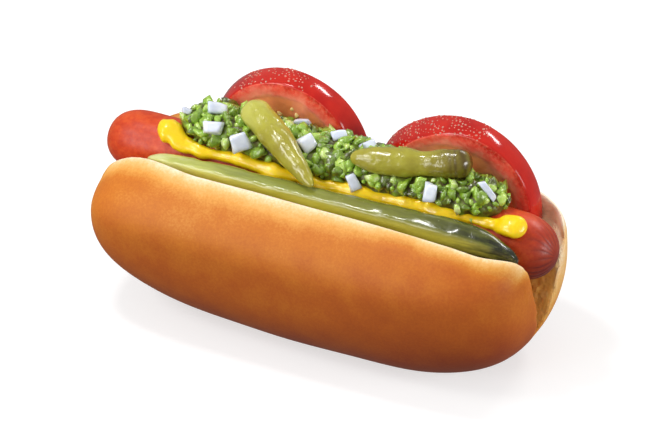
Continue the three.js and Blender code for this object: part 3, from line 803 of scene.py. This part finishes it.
def make_tomato(name, front, back, lobe, lobe_angle, seed, look):
    edge, thick = TOMATO_EDGE, TOMATO_THICK
    depths = [(0, edge), (edge * 0.12, edge * 0.62), (edge * 0.4, edge * 0.3), (edge * 0.8, edge * 0.08)]
    band = np.linspace(edge * 1.4, thick - edge * 1.4, 22)
    profile = depths + [(d, 0.0) for d in band] + [(thick - d, s) for d, s in reversed(depths)]
    outlines = [tomato_outline(front, back, lobe, lobe_angle, d, s) for d, s in profile]
    inward = 1 - np.linspace(0.012, 0.985, 44) ** 1.15
    hearts = [np.array((c[0], TOMATO_Y + d, c[1] + c[2] * 0.4)) for c, d in ((front, 0), (back, thick))]
    rows = [mix(hearts[0], outlines[0], s) for s in inward[::-1]] + outlines
    rows += [mix(hearts[1], outlines[-1], s) for s in inward]
    rings = np.stack(rows)
    made = add_piece(name + "_slice", *skin(rings, *hearts))
    p = points_of(made)
    x, y, z = p.T

    # how deep each point of a cut lies inside the peel, and the seed pockets' hollows
    share = clamp01((y - TOMATO_Y) / thick)
    middle_x, middle_z, radius = (mix(a, b, share) for a, b in zip(front, back))
    out, angle = np.hypot(x - middle_x, z - middle_z), np.arctan2(z - middle_z, x - middle_x)
    inside = radius - out
    row = with_ends(np.repeat(np.arange(len(rows)), rings.shape[1]), 0, len(rows) - 1)
    first, last = len(inward) + 2, len(rows) - len(inward) - 3
    peel = ((row >= first) & (row <= last) & (z > TOMATO_FOOT + 0.4)).astype(float)
    pockets = ease(4.2, 6.0, inside) * ease(0.25, 0.55, np.abs(np.sin(2.5 * angle + seed))) * ease(5, 9, out)
    relief = 0.3 * ease(0.0, 2.4, inside) * (1 - ease(3.4, 5.5, inside)) - 0.28 * pockets
    relief += 0.16 * unevenness(p, 2.6, 51 + seed) + 0.08 * unevenness(p, 1.3, 52 + seed)
    y += np.where(share < 0.5, -1.0, 1.0) * relief * (1 - peel) * ease(0.1, 1.0, inside)
    swell = 0.16 * unevenness(p, 13, 53 + seed) * peel
    move_to(made, p + normals_of(made) * swell[:, None])
    p, upward = points_of(made), normals_of(made)[:, 2]
    beaded = peel * ease(0.3, 0.7, upward) * plateau(p[:, 0], *BEADED[name], 4)
    beaded *= 0.35 + 0.65 * ease(-0.3, 0.4, unevenness(p, 5, 7))
    marks = {"peel": peel, "depth": clamp01(inside / 14), "pocket": pockets * (1 - peel), "beaded": beaded}
    return hand_over(made, look, "tomato", name, **marks)


# Peppers


def pepper_path(stalk, middle, tip, t):
    """The curve through a pepper's three points."""
    a, b, c = (np.array(v, float) for v in (stalk, middle, tip))
    before, after = 2 * a - b, 2 * c - b

    def stretch(p0, p1, p2, p3, u):
        u = u[:, None]
        curve = (2 * p0 - 5 * p1 + 4 * p2 - p3) * u**2 + (3 * p1 - p0 - 3 * p2 + p3) * u**3
        return 0.5 * (2 * p1 + (p2 - p0) * u + curve)

    u = clamp01(t) * 2
    first = stretch(before, a, b, c, np.minimum(u, 1))
    second = stretch(a, b, c, after, np.maximum(u - 1, 0))
    return np.where(u[:, None] < 1, first, second)


def make_pepper(name, stalk, middle, tip, radius, slim, slim_from, blunt, waist, seed, look):
    t = (end_crowded(170, 1.8) + 1) / 2
    path = pepper_path(stalk, middle, tip, t)
    ahead = unit(np.gradient(path, axis=0))
    side = unit(np.cross((0, 0, 1), ahead))
    up = np.cross(ahead, side)
    shoulder = taper(clamp01(1 - t / 0.12), 2.2)
    body = mix(1, slim, ease(slim_from, 1.08, t) ** 1.4)
    point = taper(clamp01((t - 1 + blunt) / blunt), 2.3)
    shape = shoulder * body * point - waist * plateau(t, 0.36, 0.42, 0.16) * shoulder
    angle, row = ring_angles(80), t[:, None]
    groove = 1 + np.cos(5 * angle + seed + 1.2 * row)
    groove = -0.035 * ease(0.34, 0.02, row) * groove * (0.4 + 0.6 * shoulder[:, None])
    wander = 1.4 * np.sin(2 * angle + 1) + 1.1 * np.sin(7.3 * row * TURN)
    folds = np.cos(TURN * row / 0.062 + wander) * ease(0.3, 0.12, row) * (waist > 0)
    girth = radius * shape[:, None] * (1 + groove - 0.005 * folds)
    outward = side[:, None] * np.cos(angle)[None, :, None] + up[:, None] * np.sin(angle)[None, :, None]
    rings = path[:, None] + girth[..., None] * outward
    bumps = 0.26 * unevenness(rings, 4.2, 61 + seed) + 0.13 * unevenness(rings, 2.0, 62 + seed)
    rings = rings + unit(rings - path[:, None]) * (bumps * (shoulder * point)[:, None])[..., None]
    made = add_piece(name + "_pickled", *skin(rings, stalk, tip))
    if waist:
        # brown at the stalk, darker in the folds' grooves as painted shade
        brown, ripe = ease(0.34, 0.04, row) * (0.7 + 0.3 * folds), mix(0.0, 0.5, ease(0.0, 0.6, row))
    else:
        brown, ripe = 0.2 * ease(0.08, 0.0, row), mix(0.95, 0.45, ease(0.1, 0.5, row))
    brown, ripe = (v * np.ones(rings.shape[:2]) for v in (clamp01(brown), ripe))
    brown, ripe = (with_ends(v, *v[[0, -1], 0]) for v in (brown, ripe))
    return hand_over(made, look, "pepper", name, brown=brown, ripe=ripe)


# Things that repeat, set by geometry nodes


class Tree:
    """A geometry node tree under construction that sets shapes on points, with named inputs."""

    def __init__(self, name, **inputs):
        self.tree = bpy.data.node_groups.new(name, "GeometryNodeTree")
        face = self.tree.interface
        face.new_socket("Geometry", in_out="INPUT", socket_type="NodeSocketGeometry")
        self.identifiers = {}
        for label, kind in {"Shapes": "Collection", "Material": "Material", **inputs}.items():
            made = face.new_socket(label, in_out="INPUT", socket_type="NodeSocket" + kind)
            self.identifiers[label] = made.identifier
        face.new_socket("Geometry", in_out="OUTPUT", socket_type="NodeSocketGeometry")
        self.start = self.tree.nodes.new("NodeGroupInput").outputs

    def add(self, kind, inputs, **settings):
        return new_node(self.tree, kind, inputs, **settings)

    def marked(self, name, kind="FLOAT"):
        return self.add("GeometryNodeInputNamedAttribute", {"Name": name}, data_type=kind)[0]

    def random(self, low, high, seed):
        return self.add("FunctionNodeRandomValue", {2: low, 3: high, "Seed": seed}, data_type="FLOAT")[1]

    def strewn(self, where, density):
        """Points on the faces, at least Spacing apart, as often as the mark called where asks for."""
        start = self.start
        inputs = {"Mesh": start["Geometry"], "Distance Min": start["Spacing"], "Density Max": density,
                  "Density Factor": self.marked(where), "Seed": start["Seed"]}
        return self.add("GeometryNodeDistributePointsOnFaces", inputs, distribute_method="POISSON")

    def placed(self, points, turn, size, **which):
        """One of the shapes on each point."""
        inputs = {"Collection": self.start["Shapes"], "Separate Children": True, "Reset Children": True}
        shapes = self.add("GeometryNodeCollectionInfo", inputs)[0]
        inputs = {"Points": points, "Instance": shapes, "Pick Instance": True, "Rotation": turn,
                  "Scale": size}
        inputs |= {"Instance " + key: value for key, value in which.items()}
        return self.add("GeometryNodeInstanceOnPoints", inputs)[0]

    def close(self, geometry):
        """Realizes the instances, gives them the material, and ends the tree."""
        real = self.add("GeometryNodeRealizeInstances", {"Geometry": geometry})[0]
        dressed = self.add("GeometryNodeSetMaterial", {"Geometry": real, "Material": self.start["Material"]})
        self.add("NodeGroupOutput", {0: dressed[0]})
        return self

    def run(self, name, carrier, **values):
        """Runs the tree on a copy of the carrier and gives the result as a plain object."""
        base = shown(name + "_carrier", carrier.data.copy())
        modifier = base.modifiers.new("set", "NODES")
        modifier.node_group = self.tree
        for label, value in values.items():
            modifier[self.identifiers[label]] = value
        return plain(name, base)


STREWN = {"Spacing": "Float", "Smallest": "Float", "Largest": "Float", "Seed": "Int"}


def scatter_tree():
    """Chopped shapes strewn over a surface, each turned its own way, clear of the Neighbours."""
    t = Tree("strewn pieces", Neighbours="Object", Clearance="Float", **STREWN)
    near = t.add("GeometryNodeObjectInfo", {"Object": t.start["Neighbours"]})["Geometry"]
    gap = t.add("GeometryNodeProximity", {"Geometry": near}, target_element="FACES")["Distance"]
    too_near = t.add("FunctionNodeCompare", {0: gap, 1: t.start["Clearance"]}, operation="LESS_THAN")[0]
    points = {"Geometry": t.strewn("bearing", 2.5e6)["Points"], "Selection": too_near}
    kept = t.add("GeometryNodeDeleteGeometry", points, domain="POINT")[0]
    all_ways = {0: (0, 0, 0), 1: (TURN, TURN, TURN), "Seed": t.start["Seed"]}
    turn = t.add("FunctionNodeRandomValue", all_ways, data_type="FLOAT_VECTOR")[0]
    placed = t.placed(kept, turn, t.random(t.start["Smallest"], t.start["Largest"], 5))
    tint = {"Geometry": placed, "Name": "tint", "Value": t.random(0.1, 0.95, 9)}
    return t.close(t.add("GeometryNodeStoreNamedAttribute", tint, data_type="FLOAT", domain="INSTANCE")[0])


def placing_tree():
    """Shapes set at marked points, each with its own turn, size and kind."""
    t = Tree("placed pieces")
    points = t.add("GeometryNodeMeshToPoints", {"Mesh": t.start["Geometry"]})[0]
    turn, size = (t.marked(key, "FLOAT_VECTOR") for key in ("turn", "size"))
    return t.close(t.placed(points, turn, size, Index=t.marked("kind", "INT")))


def bead_tree():
    """Small drops on the faces where the bead mark allows them, lying on the surface."""
    t = Tree("drops", **STREWN)
    strewn = t.strewn("beaded", 1.9e6)
    size = t.random(t.start["Smallest"], t.start["Largest"], 3)
    return t.close(t.placed(strewn["Points"], strewn["Rotation"], size))


def shape_collection(name, makers):
    group = bpy.data.collections.new(name)
    bpy.context.scene.collection.children.link(group)
    for i, (points, faces) in enumerate(makers):
        made = add_piece(f"{name}_{i}", points, faces)
        bpy.context.scene.collection.objects.unlink(made)
        group.objects.link(made)
    return group


def clear(group):
    for made in list(group.objects):
        bpy.data.objects.remove(made)
    bpy.data.collections.remove(group)


def ball(levels):
    """A round mesh of triangles of radius 1 mm."""
    mesh = bpy.data.meshes.new("ball")
    shape = bmesh.new()
    bmesh.ops.create_icosphere(shape, subdivisions=levels, radius=1.0)
    shape.to_mesh(mesh)
    shape.free()
    points = np.array([v.co for v in mesh.vertices])
    faces = [tuple(f.vertices) for f in mesh.polygons]
    bpy.data.meshes.remove(mesh)
    return points, faces


def chopped_bits(count, levels, seed):
    """Chopped bits about 2 mm across, with the flat sides that a knife leaves, crumpled a little."""
    random = np.random.default_rng(seed)
    points, faces = ball(levels)
    for i in range(count):
        knife = unit(random.normal(size=(9, 3)))
        reach = random.uniform(0.46, 1.0, 9) / np.maximum(points @ knife.T, 0.05)
        shape = points * np.minimum(reach.min(1), 1.3)[:, None]
        shape = shape * random.uniform((1.05, 0.8, 0.55), (1.6, 1.15, 0.88))
        shape = shape * (1 + 0.22 * unevenness(points + 9 * i, 0.7, seed))[:, None]
        bend = random.uniform(-0.3, 0.3, 2)
        shape[:, 2] += bend[0] * shape[:, 0] ** 2 + bend[1] * shape[:, 0] * shape[:, 1]
        yield shape, faces


def onion_dice(count):
    """Diced bits with sides 2 mm long, a little skewed, with blunt edges."""
    random = np.random.default_rng(81)
    points, faces = ball(3)
    dice = mix(points / np.abs(points).max(1, keepdims=True), unit(points), 0.12)
    for _ in range(count):
        moved = dice.copy()
        for corner in np.ndindex(2, 2, 2):
            way = 2 * np.array(corner) - 1
            moved += np.prod((1 + dice * way) / 2, axis=1)[:, None] * random.uniform(-0.3, 0.3, 3)
        moved[:, 2] += random.uniform(0.05, 0.2) * dice[:, 0] ** 2
        yield moved, faces


# Relish heap


def make_heap():
    along = end_crowded(260, 1.7)
    x, angle = RELISH_MIDDLE + RELISH_HALF * along, ring_angles(96)
    size = taper(along, 4.5)[:, None]
    wave = 1 + 0.06 * np.sin(x / 5.5) + 0.05 * np.sin(x / 2.9 + 1)
    y = RELISH_Y + (RELISH_WIDE - 0.5) * size * np.cos(angle)
    z = RELISH_Z + (RELISH_TALL - 0.6) * size * wave[:, None] * np.sin(angle)
    rings = rings_of(x, y, z)
    bumps = 0.75 * unevenness(rings, 3.1, 91) + 0.45 * unevenness(rings, 1.6, 92)
    outward = unit(np.stack([0 * y, y - RELISH_Y, (z - RELISH_Z) * 1.4], -1))
    rings = rings + outward * (bumps * size)[..., None]
    ends = [(at, RELISH_Y, RELISH_Z) for at in (RELISH_FROM, RELISH_TO)]
    made = add_piece("relish_heap", *skin(rings, *ends))
    height = clamp01(with_ends(0.5 + 0.5 * bumps, 0.5, 0.5))
    return hand_over(made, heap_finish(), "relish", "relish", height=height)


# Camera: a long lens at the photograph's angle

AZIMUTH, ELEVATION, DISTANCE = math.radians(26), math.radians(35), 4000.0
BACK = np.array([
    math.sin(AZIMUTH) * math.cos(ELEVATION), -math.cos(AZIMUTH) * math.cos(ELEVATION), math.sin(ELEVATION)
])
RIGHT = np.array([math.cos(AZIMUTH), math.sin(AZIMUTH), 0])
UP = np.cross(BACK, RIGHT)
FACING = Matrix([[*row] for row in np.stack([RIGHT, UP, BACK], 1)])
PICTURE, PIXELS_A_MM = (660, 440), 3.27
PAST_EDGE = 2.4  # how far in mm a piece that no line of sight meets may lie off its carrier
ANCHOR, ANCHOR_AT = np.array([0, 0, 30.0]), (327.9, 228.2)  # a point of the object, and its pixel


def at_pixel(u, v):
    """The point level with the anchor that shows at a pixel."""
    return ANCHOR + RIGHT * (u - ANCHOR_AT[0]) / PIXELS_A_MM - UP * (v - ANCHOR_AT[1]) / PIXELS_A_MM


def make_camera():
    data = bpy.data.cameras.new("camera")
    data.sensor_width = 36
    data.lens = 36 * PIXELS_A_MM * DISTANCE / PICTURE[0]
    data.clip_start, data.clip_end = 0.1, 30
    camera = shown("camera", data)
    place = at_pixel(PICTURE[0] / 2, PICTURE[1] / 2) + BACK * DISTANCE
    camera.matrix_world = Matrix.Translation(Vector(place * MM)) @ FACING.to_4x4()
    bpy.context.scene.camera = camera


def place_by_sight(name, carrier, places, stand, shapes, look):
    """Sets shapes on a carrier at their places: pixel, three sides in mm, then turn, yaw and pitch."""
    spots, turns, sizes = [], [], []
    ahead = Vector(-BACK)
    for u, v, wide, high, deep, *angles in places:
        start = Vector(at_pixel(u, v) + BACK * 200)
        hit, normal, _, _ = carrier.ray_cast(start, ahead)
        if hit is None:
            line = [start + ahead * (100 + d) for d in range(200)]
            found = [(*carrier.find_nearest(at), at) for at in line]
            hit, _, _, reach, at = min(found, key=lambda one: one[3])
            spots.append(hit + (at - hit) * min(1, PAST_EDGE / reach))
        else:
            spots.append(hit - ahead * (stand / max(-ahead.dot(normal), 0.5)))
        spin, yaw, pitch = (*angles, 0, 0)[:3]
        turned = FACING
        for axis, angle in (("Y", yaw), ("X", pitch), ("Z", spin)):
            turned = turned @ Matrix.Rotation(math.radians(angle), 3, axis)
        turns.append(tuple(turned.to_euler()))
        sizes.append((wide / 2, high / 2, deep / 2))
    points = add_piece(name + "_points", np.array([tuple(s) for s in spots]), [])
    for key, kind, field, values in (
        ("turn", "FLOAT_VECTOR", "vector", turns), ("size", "FLOAT_VECTOR", "vector", sizes),
        ("kind", "INT", "value", np.arange(len(spots)) % len(shapes.objects)),
    ):
        layer = points.data.attributes.new(key, kind, "POINT")
        layer.data.foreach_set(field, np.array(values).ravel())
    made = placing_tree().run(name, points, Shapes=shapes, Material=look)
    bpy.data.objects.remove(points)
    return made


def light(name, place, aim_z, size, power):
    """A soft lamp aimed at a height over the object's middle."""
    data = bpy.data.lights.new(name, "AREA")
    data.shape, data.size, data.size_y = "RECTANGLE", size[0], size[1]
    data.energy = power
    made = shown(name, data)
    made.location = place
    made.rotation_mode = "QUATERNION"
    made.rotation_quaternion = (Vector((0, 0, aim_z)) - Vector(place)).to_track_quat("-Z", "Y")


def make_studio():
    scene = bpy.context.scene
    scene.view_settings.view_transform = "Standard"
    world = bpy.data.worlds.new("soft room")
    world.use_nodes = True
    tree = world.node_tree
    way = new_node(tree, "ShaderNodeTexCoord", {})["Generated"]
    height = new_node(tree, "ShaderNodeSeparateXYZ", {0: way})["Z"]
    level = new_node(tree, "ShaderNodeMapRange", {0: height, 1: -0.3, 2: 0.5, 3: 0.24, 4: 0.44})[0]
    background = tree.nodes["Background"].inputs
    background["Color"].default_value = (1, 1, 1, 1)
    tree.links.new(level, background["Strength"])
    scene.world = world
    corners = ((-1, -1), (1, -1), (1, 1), (-1, 1))
    floor = add_piece("floor", [(x * FLOOR_HALF, y * FLOOR_HALF, -0.2) for x, y in corners], [(0, 1, 2, 3)])
    glow = {"Emission_Color": (1, 1, 1, 1), "Emission_Strength": FLOOR_GLOW}
    f = Finish("white floor", Roughness=0.9, Specular_IOR_Level=0, **glow)
    tone = f.steps(f.grain(400, 1), (0.3, 187.5, 187.5, 187.5), (0.7, 189.2, 189.2, 189.2))
    floor.data.materials.append(f.done(tone))
    floor.visible_diffuse = floor.visible_glossy = False
    for name, lamp in LIGHTS.items():
        light(name, *lamp)


# What shows where: pixel, three sides in mm, turn in the picture in degrees, tilt to the right and up

SEEDS = {
    "tomato_left": [
        (279.5, 113, 2.2, 1.3, 0.9, -30), (296.5, 115, 1.4, 2.2, 0.9, -10), (292, 109, 1.8, 1.2, 0.8, 35)
    ],
    "tomato_right": [(496, 187, 1.9, 1.2, 0.8, -50), (489, 178, 1.3, 1.9, 0.8, 15)],
}
ONIONS = [
    (217.5, 109, 5.8, 3.4, 2.8, -8, 10, -20), (213.7, 128, 6.0, 3.7, 3.0, -3, -10, -15),
    (240.5, 142.5, 6.0, 5.2, 3.2, 20, 8, 6), (307.4, 142.5, 4.8, 4.8, 3.2, 40, 12, 5),
    (340, 136, 4.6, 3.0, 2.6, 15, -10, -20), (369.3, 146.5, 4.8, 3.2, 2.6, 25, 10, -20),
    (353.2, 182.5, 3.5, 5.0, 2.6, 28, 14, 6), (430, 192, 3.8, 5.6, 2.8, -8, -10, 10),
    (486.3, 190.7, 2.0, 7.6, 3.0, 38, 10, 8), (187, 111, 2.8, 1.6, 1.6, -20, 10, 10),
    (302, 122, 5.2, 1.6, 2.2, 4, 0, 20),
]


make_camera()
make_studio()
make_bun()
frankfurter = make_frankfurter()
mustard = make_mustard()
make_pickle()
tomato_look, pepper_look = tomato_finish(), pepper_finish()
tomatoes = {
    name: make_tomato(name, *shape, i, tomato_look) for i, (name, shape) in enumerate(TOMATOES.items())
}
peppers = [make_pepper(name, *shape, i, pepper_look) for i, (name, shape) in enumerate(PEPPERS.items())]

# Drops on the tomato peel, and the seeds that show in the pockets
round_points, round_faces = ball(2)
drop_sides = (1, 1, 0.62), (1.2, 0.9, 0.55)
drop_shapes = shape_collection("drop", [(round_points * sides, round_faces) for sides in drop_sides])
beads, drop_look = bead_tree(), drop_finish()
for i, (name, tomato) in enumerate(tomatoes.items()):
    drops = beads.run(
        name + "_drops", tomato, Shapes=drop_shapes, Material=drop_look, Spacing=DROPS_APART * MM,
        Smallest=SMALLEST_DROP, Largest=LARGEST_DROP, Seed=i + 3,
    )
    hand_over(drops, drop_look, "tomato")
pip = round_points * (1, 1, 0.8) * (1 + 0.2 * round_points[:, :1])
seed_shapes, seed_look = shape_collection("pip", [(pip, round_faces)]), seed_finish()
for name, places in SEEDS.items():
    pips = place_by_sight(name + "_seeds", tree_of(tomatoes[name]), places, 0.1, seed_shapes, seed_look)
    hand_over(pips, seed_look, "tomato")

# Relish: the heap, the onion and the chopped bits on it, clear of what lies beside them
heap = make_heap()
dice_shapes, onion_look = shape_collection("dice", onion_dice(4)), onion_finish()
onions = place_by_sight("onion_dice", tree_of(heap), ONIONS, 1.7, dice_shapes, onion_look)
hand_over(onions, onion_look, "onion", "relish", tint=0.5 + 0.5 * unevenness(points_of(onions), 6, 4))
relish_look, scatter = relish_finish(), scatter_tree()
obstacles = joined("obstacles", [mustard, *tomatoes.values(), *peppers, onions])


def strew(name, carrier, bearing, shapes):
    """Relish pieces on the carrier, as thick as its bearing says."""
    spacing, clearance, smallest, largest, seed = STREWING[name]
    mark(carrier, bearing=bearing)
    made = scatter.run(
        name, carrier, Shapes=shapes, Neighbours=obstacles, Material=relish_look, Spacing=spacing * MM,
        Clearance=clearance * MM, Smallest=smallest, Largest=largest, Seed=seed,
    )
    hand_over(made, relish_look, "relish", "relish")


lump_shapes = shape_collection("lump", chopped_bits(14, 2, 71))
bit_shapes = shape_collection("bit", chopped_bits(12, 1, 75))
p, line = points_of(heap), tree_of(mustard)
off_mustard = np.array([line.find_nearest(Vector(at))[3] for at in p])
top = ease(-0.35, 0.0, (p[:, 2] - RELISH_Z) / RELISH_TALL)
high = top * ease(2.0, 3.2, off_mustard) * ease(-49, -43, p[:, 0])
strew("relish_lumps", heap, high, lump_shapes)
strew("relish_bits", heap, top * ease(0.6, 1.4, off_mustard), bit_shapes)
x, y, z = points_of(frankfurter).T
beside = plateau(x, -47, 52, 2) * ease(48.6, 49.6, z) * (y < 1)
strew("relish_fallen", frankfurter, beside, bit_shapes)
for group in (drop_shapes, seed_shapes, dice_shapes, lump_shapes, bit_shapes):
    clear(group)
bpy.data.objects.remove(obstacles)
